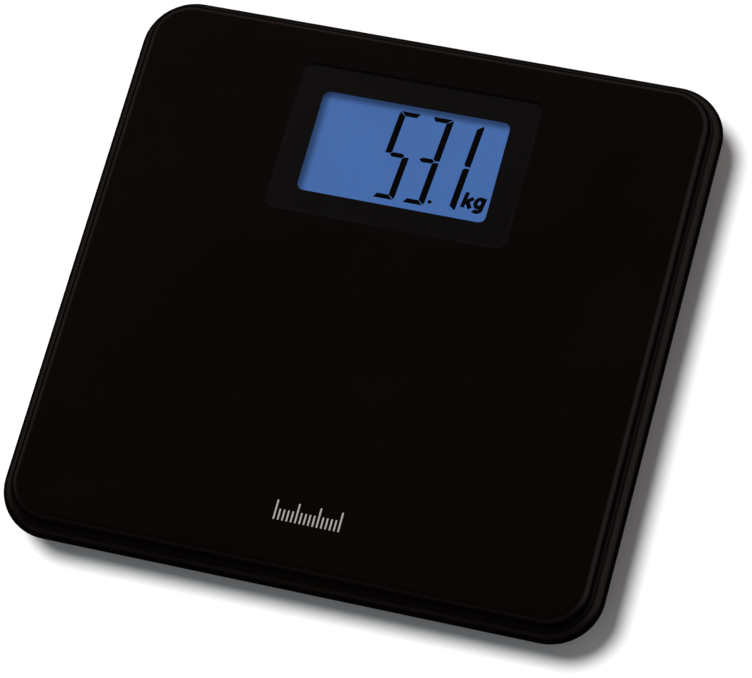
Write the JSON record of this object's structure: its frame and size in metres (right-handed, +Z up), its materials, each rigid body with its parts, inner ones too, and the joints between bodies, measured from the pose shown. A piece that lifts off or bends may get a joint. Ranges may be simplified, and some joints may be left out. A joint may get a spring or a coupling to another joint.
{
  "type": "digital bathroom scale",
  "caption": "Slim square bathroom scale with a black platform, a flush back-lit display window, a rounded rim and load cell feet.",
  "frame": {"origin": "middle of the footprint at floor level", "axes": "+X to the user's right, +Y towards the display end, +Z up"},
  "size_m": [0.3, 0.293, 0.033],
  "materials": {
    "cover_plastic": "moulded, glossy",
    "case_plastic": "moulded, satin",
    "window_acrylic": "clear",
    "mask_print": "printed film",
    "lcd": "back-lit blue",
    "holder_plastic": "moulded",
    "light_guide": "clear",
    "led": "moulded",
    "zebra": "striped",
    "board": "solder mask",
    "epoxy": "cast",
    "component": "moulded",
    "switch_plastic": "moulded",
    "plunger_plastic": "moulded",
    "button_plastic": "moulded",
    "cell_can": "plain sleeve",
    "contact_steel": "nickel plated",
    "screw_steel": "zinc plated",
    "cell_steel": "stamped",
    "gauge_foil": "foil",
    "silicone": "cast",
    "foot_plastic": "moulded",
    "pad_rubber": "moulded",
    "lead_grey": "insulation",
    "lead_red": "insulation",
    "lead_black": "insulation"
  },
  "bodies": {
    "case": {"platform_cover": "cover_plastic", "cover_ribs": "cover_plastic", "base_tray": "case_plastic", "case_ribs": "case_plastic", "display_window": "window_acrylic", "window_mask": "mask_print", "lcd_panel": "lcd", "lcd_holder": "holder_plastic", "backlight_panel": "light_guide", "backlight_leds": "led", "zebra_strip": "zebra", "main_board": "board", "controller_chip": "epoxy", "board_parts": "component", "switch_housing": "switch_plastic", "battery_1": "cell_can", "battery_2": "cell_can", "battery_3": "cell_can", "battery_4": "cell_can", "battery_springs": "contact_steel", "contact_plates": "contact_steel", "case_screws": "screw_steel", "retainer_screws": "screw_steel", "board_screws": "screw_steel", "strain_gauges": "gauge_foil", "gauge_coats": "silicone", "load_cell_front_left": "cell_steel", "cell_retainer_front_left": "foot_plastic", "cell_lead_front_left": "lead_grey", "load_cell_front_right": "cell_steel", "cell_retainer_front_right": "foot_plastic", "cell_lead_front_right": "lead_grey", "load_cell_rear_left": "cell_steel", "cell_retainer_rear_left": "foot_plastic", "cell_lead_rear_left": "lead_grey", "load_cell_rear_right": "cell_steel", "cell_retainer_rear_right": "foot_plastic", "cell_lead_rear_right": "lead_grey", "battery_lead_red": "lead_red", "battery_lead_black": "lead_black"},
    "door": {"battery_door": "case_plastic"},
    "button": {"unit_button": "button_plastic", "switch_plunger": "plunger_plastic"},
    "foot_front_left": {"foot_cup_front_left": "foot_plastic", "foot_pad_front_left": "pad_rubber"},
    "foot_front_right": {"foot_cup_front_right": "foot_plastic", "foot_pad_front_right": "pad_rubber"},
    "foot_rear_left": {"foot_cup_rear_left": "foot_plastic", "foot_pad_rear_left": "pad_rubber"},
    "foot_rear_right": {"foot_cup_rear_right": "foot_plastic", "foot_pad_rear_right": "pad_rubber"}
  },
  "joints": [
    {"name": "battery_door_hinge", "type": "hinge", "parent": "case", "child": "door", "pos_m": [0, -0.0412, 0.0074], "axis": [-1, 0, 0], "range_deg": [0, 90]},
    {"name": "unit_button_press", "type": "slide", "parent": "case", "child": "button", "axis": [0, 0, 1], "range_m": [0, 0.0008], "stiffness_N_per_m": 600},
    {"name": "foot_front_left_flex", "type": "slide", "parent": "case", "child": "foot_front_left", "axis": [0, 0, 1], "range_m": [0, 0.0005], "stiffness_N_per_m": 700000, "deforming": ["load_cell_front_left"]},
    {"name": "foot_front_right_flex", "type": "slide", "parent": "case", "child": "foot_front_right", "axis": [0, 0, 1], "range_m": [0, 0.0005], "stiffness_N_per_m": 700000, "deforming": ["load_cell_front_right"]},
    {"name": "foot_rear_left_flex", "type": "slide", "parent": "case", "child": "foot_rear_left", "axis": [0, 0, 1], "range_m": [0, 0.0005], "stiffness_N_per_m": 700000, "deforming": ["load_cell_rear_left"]},
    {"name": "foot_rear_right_flex", "type": "slide", "parent": "case", "child": "foot_rear_right", "axis": [0, 0, 1], "range_m": [0, 0.0005], "stiffness_N_per_m": 700000, "deforming": ["load_cell_rear_right"]}
  ]
}
